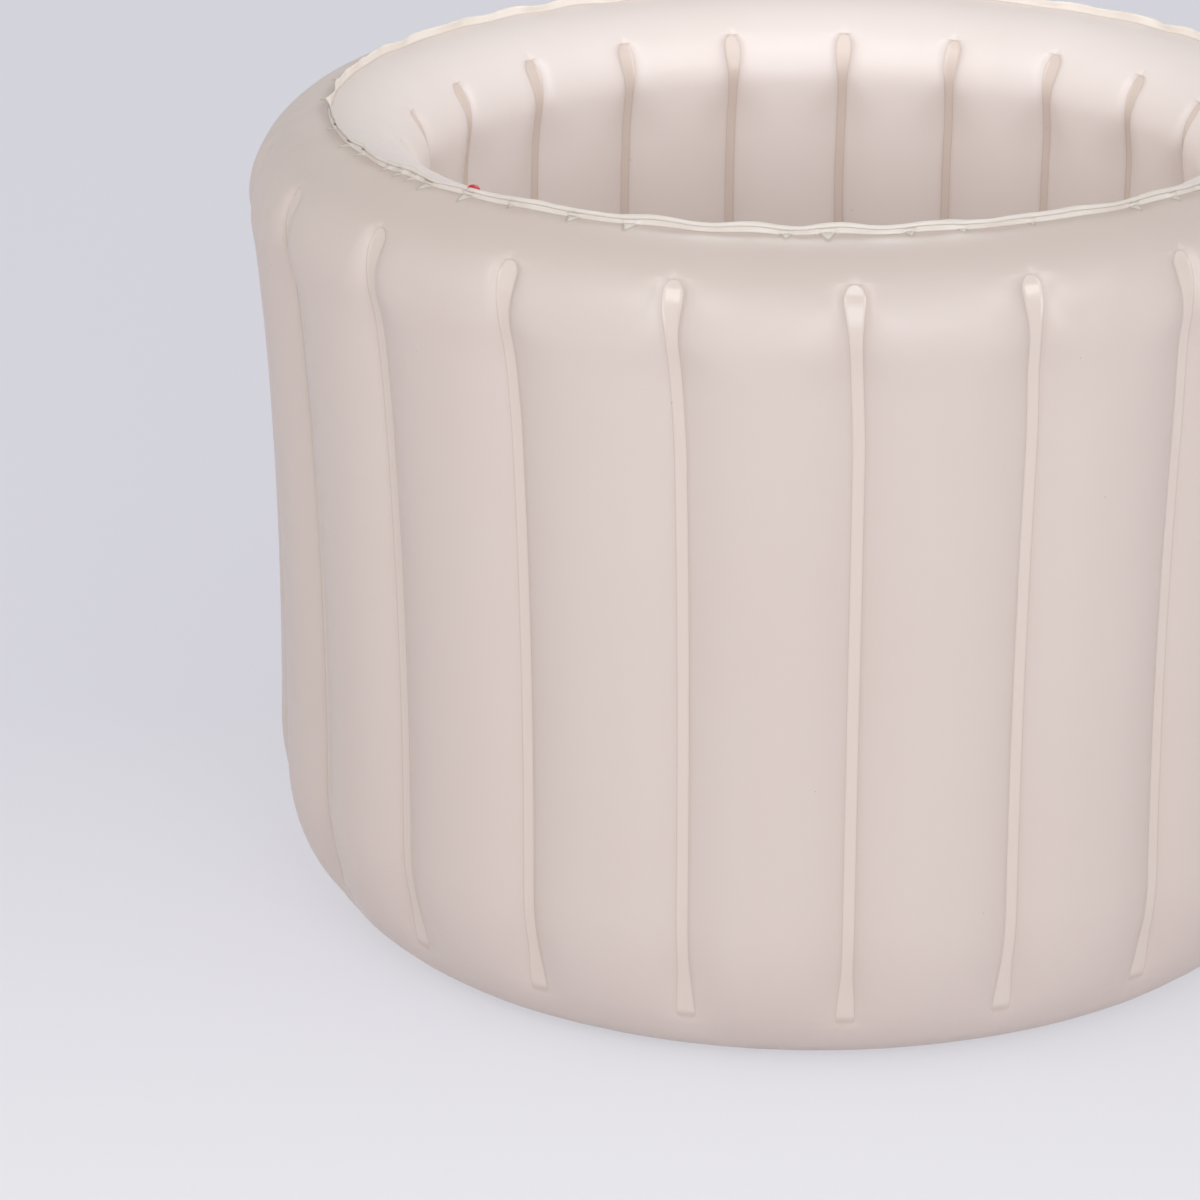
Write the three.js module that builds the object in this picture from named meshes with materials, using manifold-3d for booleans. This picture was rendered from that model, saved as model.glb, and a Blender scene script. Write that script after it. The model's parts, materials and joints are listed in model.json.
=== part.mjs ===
// Tall round inflatable bathtub for a small child, standing blown up and empty.
// Its wall is a ring of upright air channels between two skins of soft vinyl, its floor an air cushion.
// Millimetres, +Z up, origin at the centre of the underside. Angles turn from -Y towards +X.

import * as THREE from "three";
import { mergeVertices } from "three/addons/utils/BufferGeometryUtils.js";
import Module from "manifold-3d";

const wasm = await Module();
wasm.setup();

// Sheet and fits
const film = 0.4;
const lap = 0.3;
const overrun = 30;

// Wall ring
const channelCount = 21;
const firstWeldAngle = 0.08;
const weldRadius = 380;
const rimFlare = 19.5;
const footFlare = 5.3;
const wallDepth = 95;
const outerSwell = 10;
const innerSwell = 10;

// Rim and foot of the wall
const seamInset = 37;
const seamHeight = 590;
const archRise = 58;
const rimFlangeHeight = 6;
const footSeamInset = 70;
const footRise = 119;
const lapWidth = 12;
const baseMargin = 2;

// Weld bands of the inner strips
const weldTopDrop = 20;
const weldBottom = 41;
const weldBandWidth = 6.5;
const weldHeadWidth = 15;
const weldHeadTaper = 42;
const weldFanWidth = 13;
const creaseWidth = 4;

// Air floor
const floorCrown = 60;
const ringWeldRadius = 165;
const ringWeldWidth = 6;
const hubWeldRadius = 36;
const floorSegments = 42;

// Air valves, one in the wall and one in the floor
const valveFlangeRadius = 12;
const valveFlangeThickness = 0.8;
const neckRadius = 4.8;
const neckBoreRadius = 2.9;
const neckRimRadius = 6.2;
const neckRimThickness = 0.8;
const neckDepth = 14;
const neckStopDepth = 12.6;
const flapThickness = 0.5;
const plugShankRadius = 2.5;
const plugShankLength = 8;
const plugHeadRadius = 4.3;
const plugDome = 3;
const plugEdge = 0.8;
const wallValveChannel = -3;
const floorValveSegment = 17;
const valveSegments = 16;

// Drain in the middle of the floor
const drainBoreRadius = 12;
const drainSeatWall = 1.6;
const drainFlangeRadius = 27;
const drainFlangeThickness = 1.8;
const drainPlugHeadRadius = 17;
const drainPlugHeadThickness = 2.6;
const drainPlugDraft = 0.3;
const drainPlugLift = 0.6;
const drainPlugChamfer = 0.3;
const pullTabWidth = 16;
const pullTabHeight = 17;
const pullTabThickness = 2.4;
const pullTabHoleRadius = 4.5;
const drainSegments = 28;

// Places that follow from the weld line and the height of the rim
const seamRadius = weldRadius - seamInset;
const footSeamRadius = weldRadius - footSeamInset;
const weldTop = seamHeight - weldTopDrop;

// Heights at which the layers at the foot lie on each other
const baseTop = film;
const footLevel = baseTop + lap;
const innerFootLevel = footLevel + film + lap;
const floorLevel = footLevel + film;

// Hole through both floor sheets, round the drain seat
const drainHoleRadius = drainBoreRadius + drainSeatWall + lap;

const channelAngle = (2 * Math.PI) / channelCount;

// Colours and finishes
const vinyl = { color: 0xd9cac4, roughness: 0.42, metalness: 0 };
const innerVinyl = { color: 0xcabfb9, roughness: 0.45, metalness: 0 };
const clearVinyl = { color: 0xe6ddd6, roughness: 0.3, metalness: 0 };
const plugRed = { color: 0xe84546, roughness: 0.35, metalness: 0 };

const tub = new THREE.Group();

function addMesh(parent, name, geometry, finish) {
  const mesh = new THREE.Mesh(geometry, new THREE.MeshStandardMaterial(finish));
  mesh.name = name;
  parent.add(mesh);
  return mesh;
}

// Geometry from points and triangles, turned so that its faces point out
function solidFrom(points, triangles) {
  let volume = 0;
  for (const [a, b, c] of triangles) {
    volume += points[a].dot(points[b].clone().cross(points[c]));
  }
  const index = triangles.flatMap(([a, b, c]) => (volume > 0 ? [a, b, c] : [a, c, b]));
  const geometry = new THREE.BufferGeometry().setFromPoints(points);
  geometry.setIndex(index);
  geometry.computeVertexNormals();
  return geometry;
}

// A ring through a list of sections of a sheet, each its face from end to end and then its back from
// end to start. The back's triangles fold along the same lines as the face's, so the gauge stays even.
function sheetRing(sections) {
  const size = sections[0].length;
  const triangles = [];
  for (let i = 0; i < sections.length; i++) {
    const here = i * size;
    const next = ((i + 1) % sections.length) * size;
    for (let j = 0; j < size; j++) {
      const k = (j + 1) % size;
      if (j < size / 2) triangles.push([here + j, next + j, next + k], [here + j, next + k, here + k]);
      else triangles.push([here + j, next + j, here + k], [next + j, next + k, here + k]);
    }
  }
  return solidFrom(sections.flat(), triangles);
}

// A bar through a list of equal closed loops, closed at both ends as the flat outline says
function barLoft(loops, outline) {
  const size = loops[0].length;
  const last = (loops.length - 1) * size;
  const triangles = [];
  for (let i = 0; i + 1 < loops.length; i++) {
    for (let j = 0; j < size; j++) {
      const k = (j + 1) % size;
      const here = i * size;
      const next = here + size;
      triangles.push([here + j, next + j, next + k], [here + j, next + k, here + k]);
    }
  }
  for (const [a, b, c] of THREE.ShapeUtils.triangulateShape(outline, [])) {
    triangles.push([a, b, c], [last + a, last + c, last + b]);
  }
  return solidFrom(loops.flat(), triangles);
}

// A solid for joining and cutting, and back
function toSolid(geometry, matrix) {
  const bare = new THREE.BufferGeometry();
  bare.setAttribute("position", geometry.getAttribute("position").clone());
  bare.setIndex(geometry.getIndex());
  if (matrix) bare.applyMatrix4(matrix);
  const merged = mergeVertices(bare);
  const vertProperties = merged.getAttribute("position").array;
  const triVerts = new Uint32Array(merged.getIndex().array);
  return new wasm.Manifold(new wasm.Mesh({ numProp: 3, vertProperties, triVerts }));
}

function toGeometry(solid) {
  const { vertProperties, triVerts } = solid.getMesh();
  const geometry = new THREE.BufferGeometry();
  geometry.setAttribute("position", new THREE.BufferAttribute(vertProperties, 3));
  geometry.setIndex(new THREE.BufferAttribute(triVerts, 1));
  geometry.computeVertexNormals();
  return geometry;
}

// A turned piece about +Z from a closed profile of [radius, height] pairs
function turned(profile, segments) {
  const points = [...profile, profile[0]].map(([r, z]) => new THREE.Vector2(r, z));
  const lathe = new THREE.LatheGeometry(points, segments).rotateX(Math.PI / 2);
  const bare = new THREE.BufferGeometry();
  bare.setAttribute("position", lathe.getAttribute("position"));
  bare.setIndex(lathe.getIndex());
  const merged = mergeVertices(bare);
  const at = merged.getAttribute("position");
  const corners = [];
  for (let i = 0; i < at.count; i++) corners.push(new THREE.Vector3().fromBufferAttribute(at, i));
  const triangles = [];
  const index = merged.getIndex().array;
  for (let i = 0; i < index.length; i += 3) {
    const [a, b, c] = [index[i], index[i + 1], index[i + 2]];
    if (a !== b && b !== c && c !== a) triangles.push([a, b, c]);
  }
  return solidFrom(corners, triangles);
}

function polar(radius, angle, height) {
  return new THREE.Vector3(radius * Math.sin(angle), -radius * Math.cos(angle), height);
}

// Offset directions along a profile, mitred so that a shifted copy stays one gauge away
function mitres(profile, side) {
  const normals = [];
  for (let i = 0; i + 1 < profile.length; i++) {
    const dr = profile[i + 1].r - profile[i].r;
    const dz = profile[i + 1].z - profile[i].z;
    normals.push(new THREE.Vector2(dz, -dr).normalize().multiplyScalar(side));
  }
  return profile.map((point, i) => {
    const before = normals[Math.max(i - 1, 0)];
    const after = normals[Math.min(i, normals.length - 1)];
    return before.clone().add(after).divideScalar(1 + before.dot(after));
  });
}

// Radius of the outer weld line: a slight waist between a flared foot and a flared rim
function outerWeldRadius(z) {
  const t = z / seamHeight;
  const waist = 4 * t * (1 - t) * weldRadius;
  const foot = (1 - t) * (1 - 2 * t) * (weldRadius + footFlare);
  const rim = t * (2 * t - 1) * (weldRadius + rimFlare);
  return foot + waist + rim;
}

// Quarter ellipses that close the channels at the foot and under the rim seam
function foot(seat, level, crest) {
  return (z) => {
    const drop = (footRise - z) / (footRise - level);
    return { r: seat + (crest - seat) * Math.sqrt(1 - drop * drop), z };
  };
}

function arch(crest) {
  return (z) => {
    const climb = (z - (seamHeight - archRise)) / archRise;
    return { r: seamRadius + (crest - seamRadius) * Math.sqrt(Math.max(1 - climb * climb, 0)), z };
  };
}

// Rows of the wall, from the foot to the rim
const footShare = 0.18;
const archShare = 0.87;
const footRowZ = footLevel + (footRise - footLevel) * footShare;
const neckZ = weldTop - weldHeadTaper;
const headZ = weldTop - weldHeadWidth / 2;
const archRowZ = seamHeight - archRise * (1 - archShare);
const weldRows = [
  { z: weldBottom, band: weldFanWidth, depthShare: 0.6 },
  { z: footRise, band: weldBandWidth, depthShare: 1 },
  { z: (footRise + neckZ) / 2, band: weldBandWidth, depthShare: 1 },
  { z: neckZ, band: weldBandWidth, depthShare: 1 },
  { z: headZ, band: weldHeadWidth, depthShare: 1 },
  { z: weldTop, band: creaseWidth, depthShare: 0.85 },
];

// Crest line of the outer skin, which ends in its layer of the rim seam
function outerProfile() {
  const crestAt = (z) => outerWeldRadius(z) + outerSwell;
  const footAt = foot(footSeamRadius, footLevel, crestAt(footRise));
  const archAt = arch(crestAt(seamHeight - archRise));
  const layer = seamRadius + lap / 2 + film;
  const wall = weldRows.map((row) => {
    if (row.z < footRise) return { ...row, ...footAt(row.z) };
    if (row.z > seamHeight - archRise) return { ...row, ...archAt(row.z) };
    return { ...row, r: crestAt(row.z) };
  });
  return [
    { r: footSeamRadius - lapWidth, z: footLevel, band: creaseWidth, depthShare: 0 },
    { r: footSeamRadius, z: footLevel, band: creaseWidth, depthShare: 0 },
    { ...footAt(footRowZ), band: creaseWidth, depthShare: 0.2 },
    ...wall,
    { ...archAt(archRowZ), band: creaseWidth, depthShare: 0.3 },
    { r: layer, z: seamHeight, band: creaseWidth, depthShare: 0 },
    { r: layer, z: seamHeight + rimFlangeHeight, band: creaseWidth, depthShare: 0 },
  ];
}

// Crest line of the inner skin, on the water's side
function innerProfile() {
  const crest = weldRadius - wallDepth - innerSwell;
  const footAt = foot(footSeamRadius - lapWidth, innerFootLevel, crest);
  const archAt = arch(crest);
  const layer = seamRadius - lap / 2 - film;
  const wall = weldRows.map((row) => {
    if (row.z < footRise) return { ...row, ...footAt(row.z) };
    if (row.z > seamHeight - archRise) return { ...row, ...archAt(row.z) };
    return { ...row, r: crest };
  });
  return [
    { r: footSeamRadius - lap, z: innerFootLevel, band: creaseWidth, depthShare: 0 },
    { r: footSeamRadius - lapWidth, z: innerFootLevel, band: creaseWidth, depthShare: 0 },
    { ...footAt(footRowZ), band: creaseWidth, depthShare: 0 },
    ...wall,
    { ...archAt(archRowZ), band: creaseWidth, depthShare: 0.3 },
    { r: layer, z: seamHeight, band: creaseWidth, depthShare: 0 },
    { r: layer, z: seamHeight + rimFlangeHeight, band: creaseWidth, depthShare: 0 },
  ];
}

// A skin of the wall: its profile, the side that it faces and how deep its welds lie
function makeSkin(profile, side, swell) {
  return { profile, side, swell, mitre: mitres(profile, side) };
}

const outerSkin = makeSkin(outerProfile(), 1, outerSwell);
const innerSkin = makeSkin(innerProfile(), -1, innerSwell);

// A point of a skin: row, angle from the weld line, valley from 0 at the crest to 1 at the weld
function skinPoint(skin, row, angle, valleyShare, offset) {
  const at = skin.profile[row];
  const mitre = skin.mitre[row];
  const unit = mitre.clone().normalize();
  const sink = skin.swell * at.depthShare * valleyShare;
  const radius = at.r + mitre.x * offset - unit.x * sink;
  return polar(radius, angle, at.z + mitre.y * offset - unit.y * sink);
}

// Columns of one channel as shares of its free width, after the two edges of its weld band
const bellyShares = [1 / 3, 2 / 3];

function columnAngle(skin, row, channel, column) {
  const weld = firstWeldAngle + channel * channelAngle;
  const half = skin.profile[row].band / 2 / skin.profile[row].r;
  if (column === 0) return weld - half;
  if (column === 1) return weld + half;
  return weld + half + (channelAngle - 2 * half) * bellyShares[column - 2];
}

function columnValley(column) {
  if (column < 2) return 1;
  const across = 2 * bellyShares[column - 2] - 1;
  return across * across;
}

// A closed layer that follows a skin between two offsets from its face
function skinLayer(skin, from, to) {
  const sections = [];
  const rows = skin.profile.map((_, row) => row);
  for (let channel = 0; channel < channelCount; channel++) {
    for (let column = 0; column < 2 + bellyShares.length; column++) {
      const point = (row, offset) =>
        skinPoint(skin, row, columnAngle(skin, row, channel, column), columnValley(column), offset);
      const face = rows.map((row) => point(row, to));
      const back = rows.map((row) => point(row, from)).reverse();
      sections.push([...face, ...back]);
    }
  }
  return sheetRing(sections);
}

// Inner strips: an upright web with a weld band along each edge, one at every weld line
function baffleStrip() {
  const firstRow = outerSkin.profile.findIndex((at) => at.z === weldBottom);
  const tabEdge = (skin, row, sideways, offset) => {
    const at = skin.profile[row];
    return skinPoint(skin, row, (sideways * (at.band / 2 - lap)) / at.r, 1, offset);
  };
  const webEdge = (skin, row, sideways, offset) =>
    skinPoint(skin, row, (sideways * film) / 2 / skin.profile[row].r, 1, offset);
  const loops = weldRows.map((_, i) => {
    const row = firstRow + i;
    const near = -film - lap;
    const far = near - film;
    return [
      tabEdge(outerSkin, row, -1, near),
      tabEdge(outerSkin, row, 1, near),
      tabEdge(outerSkin, row, 1, far),
      webEdge(outerSkin, row, 1, far),
      webEdge(innerSkin, row, 1, far),
      tabEdge(innerSkin, row, 1, far),
      tabEdge(innerSkin, row, 1, near),
      tabEdge(innerSkin, row, -1, near),
      tabEdge(innerSkin, row, -1, far),
      webEdge(innerSkin, row, -1, far),
      webEdge(outerSkin, row, -1, far),
      tabEdge(outerSkin, row, -1, far),
    ];
  });
  const outline = loops[0].map((point) => new THREE.Vector2(point.x, point.y));
  return barLoft(loops, outline);
}

// Crown of one air ring of the floor: half an ellipse between two welds
function crown(fromRadius, toRadius) {
  const middle = (fromRadius + toRadius) / 2;
  const half = (fromRadius - toRadius) / 2;
  return crownShares.map((share) => ({
    r: middle + half * Math.cos(Math.PI * share),
    z: floorLevel + floorCrown * Math.sin(Math.PI * share),
  }));
}

const crownShares = [0.22, 0.42, 0.58, 0.78];
const marginShares = [0.2, 1];

// Profile of the floor's outer ring, from its margin on the inner skin to the ring weld
function floorRingProfile() {
  const [, low, high] = innerSkin.profile;
  const chordSag = low.r * (1 - Math.cos(channelAngle / bellyShares.length / 2));
  const away = lap + chordSag;
  const run = Math.hypot(high.r - low.r, high.z - low.z);
  const under = { r: -(high.z - low.z) / run, z: (high.r - low.r) / run };
  const margin = marginShares.map((share) => ({
    r: low.r + (high.r - low.r) * share + under.r * away,
    z: low.z + (high.z - low.z) * share + under.z * away,
  }));
  const ringOut = ringWeldRadius + ringWeldWidth / 2;
  return [
    ...margin,
    ...crown(high.r - away, ringOut),
    { r: ringOut, z: floorLevel },
    { r: ringWeldRadius + lap / 2, z: floorLevel },
  ];
}

// Profile of the floor's middle cushion, from the ring weld to the drain
function floorCentreProfile() {
  const ringIn = ringWeldRadius - ringWeldWidth / 2;
  return [
    { r: ringWeldRadius - lap / 2, z: floorLevel },
    { r: ringIn, z: floorLevel },
    ...crown(ringIn, hubWeldRadius),
    { r: hubWeldRadius, z: floorLevel },
    { r: drainHoleRadius, z: floorLevel },
  ];
}

function makeFloorSheet(profile) {
  return { profile, mitre: mitres(profile, 1) };
}

const floorRing = makeFloorSheet(floorRingProfile());
const floorCentre = makeFloorSheet(floorCentreProfile());

// A closed layer that follows a floor sheet between two offsets from its face
function floorLayer(sheet, from, to) {
  const sections = [];
  const rows = sheet.profile.map((_, row) => row);
  for (let i = 0; i < floorSegments; i++) {
    const angle = firstWeldAngle + (i * 2 * Math.PI) / floorSegments;
    const point = (row, offset) =>
      polar(
        sheet.profile[row].r + sheet.mitre[row].x * offset,
        angle,
        sheet.profile[row].z + sheet.mitre[row].y * offset,
      );
    const face = rows.map((row) => point(row, to));
    const back = rows.map((row) => point(row, from)).reverse();
    sections.push([...face, ...back]);
  }
  return sheetRing(sections);
}

// Seat of a valve: the middle of one face of the sheet that carries it, with the way out of it
function facetSeat(a, b, c, d) {
  const point = a.clone().add(b).add(c).add(d).divideScalar(4);
  const way = c.clone().sub(a).cross(d.clone().sub(b)).normalize();
  return { point, way };
}

function wallValveSeat() {
  const top = innerSkin.profile.length - 2;
  const corner = (row, column) =>
    skinPoint(
      innerSkin,
      row,
      columnAngle(innerSkin, row, wallValveChannel, column),
      columnValley(column),
      0,
    );
  return facetSeat(corner(top, 1), corner(top, 2), corner(top - 1, 2), corner(top - 1, 1));
}

function floorValveSeat() {
  const row = marginShares.length + crownShares.length / 2 - 1;
  const angleAt = (i) => firstWeldAngle + (i * 2 * Math.PI) / floorSegments;
  const corner = (i, j) => polar(floorRing.profile[i].r, angleAt(j), floorRing.profile[i].z);
  const at = floorValveSegment;
  return facetSeat(corner(row, at), corner(row, at + 1), corner(row + 1, at + 1), corner(row + 1, at));
}

function seatMatrix(seat) {
  if (seat.way.z < 0) seat.way.negate();
  const turn = new THREE.Quaternion().setFromUnitVectors(new THREE.Vector3(0, 0, 1), seat.way);
  return new THREE.Matrix4().compose(seat.point, turn, new THREE.Vector3(1, 1, 1));
}

function rod(radius, matrix) {
  const cylinder = new THREE.CylinderGeometry(radius, radius, overrun, 2 * valveSegments);
  return toSolid(cylinder.rotateX(Math.PI / 2), matrix);
}

// The welded flange lies on the sheet and follows it
function valveFlange(layer, matrix) {
  const disc = toSolid(layer).intersect(rod(valveFlangeRadius, matrix));
  return toGeometry(disc.subtract(rod(neckRadius + lap, matrix)));
}

// Neck of a valve, pressed in as it is kept: a tube with a rim outside and a stop inside
const rimFoot = lap + valveFlangeThickness + lap;

function valveNeck() {
  return turned(
    [
      [neckBoreRadius, rimFoot + neckRimThickness],
      [neckRimRadius, rimFoot + neckRimThickness],
      [neckRimRadius, rimFoot],
      [neckRadius, rimFoot],
      [neckRadius, -neckStopDepth],
      [neckRimRadius, -neckStopDepth],
      [neckRimRadius, -neckStopDepth - neckRimThickness],
      [neckRadius, -neckDepth],
      [neckBoreRadius, -neckDepth],
    ],
    valveSegments,
  );
}

function valveFlap() {
  const top = -neckDepth - lap;
  return turned(
    [
      [0, top],
      [neckRadius, top],
      [neckRadius, top - flapThickness],
      [0, top - flapThickness],
    ],
    valveSegments,
  );
}

// Stopper: a tapered shank and a domed head that rests on the neck's rim
function valvePlug() {
  const seat = rimFoot + neckRimThickness + lap;
  const domeSteps = 4;
  const dome = [];
  for (let i = 0; i <= domeSteps; i++) {
    const a = (i * Math.PI) / 2 / domeSteps;
    dome.push([plugHeadRadius * Math.cos(a), seat + plugEdge + plugDome * Math.sin(a)]);
  }
  return turned(
    [
      [0, seat - plugShankLength],
      [plugShankRadius - lap, seat - plugShankLength],
      [plugShankRadius, seat],
      [plugHeadRadius, seat],
      ...dome,
    ],
    valveSegments,
  );
}

function addValve(name, seat, layer) {
  const matrix = seatMatrix(seat);
  addMesh(tub, `${name}_flange`, valveFlange(layer, matrix), clearVinyl);
  const place = new THREE.Group();
  place.applyMatrix4(matrix);
  tub.add(place);
  addMesh(place, `${name}_neck`, valveNeck(), clearVinyl);
  addMesh(place, `${name}_flap`, valveFlap(), clearVinyl);
  addMesh(place, `${name}_plug`, valvePlug(), plugRed);
  return rod(neckRadius + lap, matrix);
}

// Drain: a grommet through both floor sheets and a stopper with a pull tab
const drainSeatLevel = floorLevel + lap;

function drainSeat() {
  const outer = drainBoreRadius + drainSeatWall;
  return turned(
    [
      [drainBoreRadius, lap],
      [outer, lap],
      [outer, drainSeatLevel],
      [drainFlangeRadius, drainSeatLevel],
      [drainFlangeRadius, drainSeatLevel + drainFlangeThickness],
      [drainBoreRadius, drainSeatLevel + drainFlangeThickness],
    ],
    drainSegments,
  );
}

function drainPlug() {
  const under = drainSeatLevel + drainFlangeThickness + lap;
  const top = under + drainPlugHeadThickness;
  const stem = drainBoreRadius - lap;
  const body = turned(
    [
      [0, drainPlugLift],
      [stem - drainPlugDraft, drainPlugLift],
      [stem, under],
      [drainPlugHeadRadius, under],
      [drainPlugHeadRadius, top - drainPlugChamfer],
      [drainPlugHeadRadius - drainPlugChamfer, top],
      [0, top],
    ],
    drainSegments,
  );
  const half = pullTabWidth / 2;
  const tab = new THREE.Shape();
  tab.moveTo(-half, 0);
  tab.lineTo(half, 0);
  tab.lineTo(half, pullTabHeight - half);
  tab.absarc(0, pullTabHeight - half, half, 0, Math.PI);
  tab.lineTo(-half, 0);
  const eye = new THREE.Path();
  eye.absarc(0, pullTabHeight - half, pullTabHoleRadius, 0, 2 * Math.PI, true);
  tab.holes.push(eye);
  const plate = new THREE.ExtrudeGeometry(tab, {
    depth: pullTabThickness,
    bevelEnabled: false,
    curveSegments: valveSegments / 2,
  });
  plate.translate(0, 0, -pullTabThickness / 2);
  plate.rotateX(Math.PI / 2);
  plate.translate(0, 0, top - drainPlugChamfer);
  return toGeometry(toSolid(body).add(toSolid(plate)));
}

// Sheets on the ground and round the water
const baseSheet = turned(
  [
    [drainHoleRadius, 0],
    [footSeamRadius + baseMargin, 0],
    [footSeamRadius + baseMargin, baseTop],
    [drainHoleRadius, baseTop],
  ],
  floorSegments,
);

const flangeFrom = lap;
const flangeTo = lap + valveFlangeThickness;
const wallBore = addValve("wall_valve", wallValveSeat(), skinLayer(innerSkin, flangeFrom, flangeTo));
const floorFlange = floorLayer(floorRing, flangeFrom, flangeTo);
const floorBore = addValve("floor_valve", floorValveSeat(), floorFlange);

addMesh(tub, "outer_skin", skinLayer(outerSkin, -film, 0), vinyl);
const innerWall = toSolid(skinLayer(innerSkin, -film, 0)).subtract(wallBore);
addMesh(tub, "inner_skin", toGeometry(innerWall), innerVinyl);
const floorWall = toSolid(floorLayer(floorRing, -film, 0)).subtract(floorBore);
addMesh(tub, "floor_sheet", toGeometry(floorWall), innerVinyl);
addMesh(tub, "floor_centre_sheet", floorLayer(floorCentre, -film, 0), innerVinyl);
addMesh(tub, "base_sheet", baseSheet, vinyl);
addMesh(tub, "drain_seat", drainSeat(), clearVinyl);
addMesh(tub, "drain_plug", drainPlug(), plugRed);

const strip = baffleStrip();
for (let i = 0; i < channelCount; i++) {
  const name = `baffle_strip_${String(i + 1).padStart(2, "0")}`;
  addMesh(tub, name, strip, vinyl).rotation.z = firstWeldAngle + i * channelAngle;
}

export default tub;
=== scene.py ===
"""Tall round inflatable bathtub, blown up and empty, on a pale studio floor.

Both skins of the wall, the air floor, the welds, the valves and the drain are modelled here round
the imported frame. Sizes are in millimetres and turn into metres where a mesh is made. Angles turn
from -Y towards +X.
"""

import json
import math

import bmesh
import bpy
import numpy as np
from mathutils import Matrix, Vector


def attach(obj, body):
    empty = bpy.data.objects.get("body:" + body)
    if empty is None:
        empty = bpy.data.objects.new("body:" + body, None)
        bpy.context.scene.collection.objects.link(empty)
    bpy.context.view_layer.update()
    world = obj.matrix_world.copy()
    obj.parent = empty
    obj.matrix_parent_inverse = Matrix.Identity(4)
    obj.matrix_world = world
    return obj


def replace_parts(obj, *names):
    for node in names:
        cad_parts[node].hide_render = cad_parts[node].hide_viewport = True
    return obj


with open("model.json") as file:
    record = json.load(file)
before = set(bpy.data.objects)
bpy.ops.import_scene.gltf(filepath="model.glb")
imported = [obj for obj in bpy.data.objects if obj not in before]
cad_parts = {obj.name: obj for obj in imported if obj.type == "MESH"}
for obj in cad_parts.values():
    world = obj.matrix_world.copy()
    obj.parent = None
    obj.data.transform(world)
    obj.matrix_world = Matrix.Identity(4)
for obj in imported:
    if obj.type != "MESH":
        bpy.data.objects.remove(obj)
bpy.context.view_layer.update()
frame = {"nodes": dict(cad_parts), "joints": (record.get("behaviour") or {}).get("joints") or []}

MM = 0.001
seed = 11
rng = np.random.default_rng(seed)

# Sheet
film = 0.4
lap = 0.3

# Wall ring
channel_count = 21
first_weld_angle = 0.08
weld_radius = 380
rim_flare = 19.5
foot_flare = 5.3
wall_depth = 95
outer_swell = 12
outer_weld_sink = 2
inner_swell = 10
seam_radius = 343
seam_height = 590
outer_arch_rise = 66
inner_arch_rise = 58
outer_flange_height = 4.2
inner_flange_height = 6.8
foot_seam_radius = 310
foot_rise = 119
lap_width = 12
base_margin = 2

# Weld bands
weld_top = 570
weld_bottom = 41
outer_band_width = 7.8
inner_band_width = 5.8
outer_head_width = 13.6
inner_head_width = 11.6
head_end = 10
head_taper = 42
head_taper_power = 1.6
fan_width = 12.5
fan_length = 46
least_half_band = 0.25
groove_depth = 0.6
groove_width = 1.4
head_groove_gain = 0.9

# Valleys between the channels: how sharp they are, and what changes near the heads
valley_power = 2.4
head_valley_power = 7
head_valley_loss_share = 0.72
head_lean = -0.0105

# Soft steps along a skin: the offsets at which each starts and ends, counted from the top or the
# bottom of the welds, from the rim seam, from the skin's lower edge or from a weld band's edge
valley_narrows_at_top = (-76, -3)
valley_ends_at_top = (5, -8)
valley_ends_at_bottom = (-34, 40)
valley_opens_at_bottom = (4, -18)
groove_ends_at_top = (2.5, -1)
groove_ends_at_bottom = (-4, 10)
groove_widens_at_top = (-60, -12)
lean_starts_at_top = (-130, -12)
uneven_from_foot = (12, 70)
uneven_from_seam = (0, -60)
uneven_from_band = (1.0, 9.0)
mark_ends_at_top = (0.5, -0.5)
mark_ends_at_bottom = (-5, 3)
mark_starts_at_seam = (-1.5, 0.5)
mark_ends_at_band = (0.7, 0.1)

# Rim seam: how far its wave reaches down, the wave's share at the seam, the dip on a fold, and the
# outer layer's top edge, where a smaller share of the rim mark draws a painted shade line
seam_wave_reach = 7.0
seam_wave_share = 0.5
fold_dip = 0.3
rim_edge = 0.5
rim_edge_shade = 0.6

# Sampling of a skin's crest line
sample_step = 0.25
arc_samples = 200
wall_samples = 300
soften_samples = 4
soften_end = 2

# Columns: across the weld band, then across the belly, and where they leave the bands to spread
# evenly, above the heads and below the fans
band_shares = np.array([-1.0, -0.62, 0.0, 0.62, 1.0])
belly_shares = np.array(
    [0.008, 0.018, 0.034, 0.06, 0.095, 0.14, 0.19, 0.245, 0.305, 0.37, 0.435, 0.5]
)
belly_shares = np.concatenate([belly_shares, 1 - belly_shares[-2::-1]])
column_shares = np.arange(len(band_shares) + len(belly_shares))
column_shares = column_shares / len(column_shares)
even_above_top = 6
even_below_seam = 16
even_below_bottom = 8
even_foot = 30

# Rows: lengths that part the skin, how many rows each part has, and the finer rows at the rim
fan_rows_below = 10
fan_rows_above = 6
upper_rows_length = 135
arch_rows_length = 17
part_rows = (8, 8, 7, 14, 9, 11)
head_rows = 11
throat_rows = 8
arch_rows = 10
arch_rows_power = 1.4
flange_rows = 5
head_row_gap = 0.5
edge_row_gap = 0.3
fine_times = 3
back_every = 2

# Inner strips
strip_rows = 30
strip_above_bottom = 6
strip_below_top = 8

# Air floor
floor_crown = 59
floor_crown_power = 0.92
ring_weld_radius = 165
ring_weld_width = 6
hub_weld_radius = 36
ring_pucker_reach = 22
hub_pucker_reach = 16
pucker_starts = (0.02, 0.3)
margin_heights = (3.0, 6.0, 10.0, 15.0, 20.0)
margin_lift = 1
margin_end_turn = 0.34
ring_rows = 26
centre_rows = 30
hub_rows = 8
weld_rows = 3
weld_mark_margin = 0.1
floor_columns = 440
floor_back_columns_every = 4
floor_back_rows_every = 3
floor_back_share = 0.9
base_columns = 264

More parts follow.
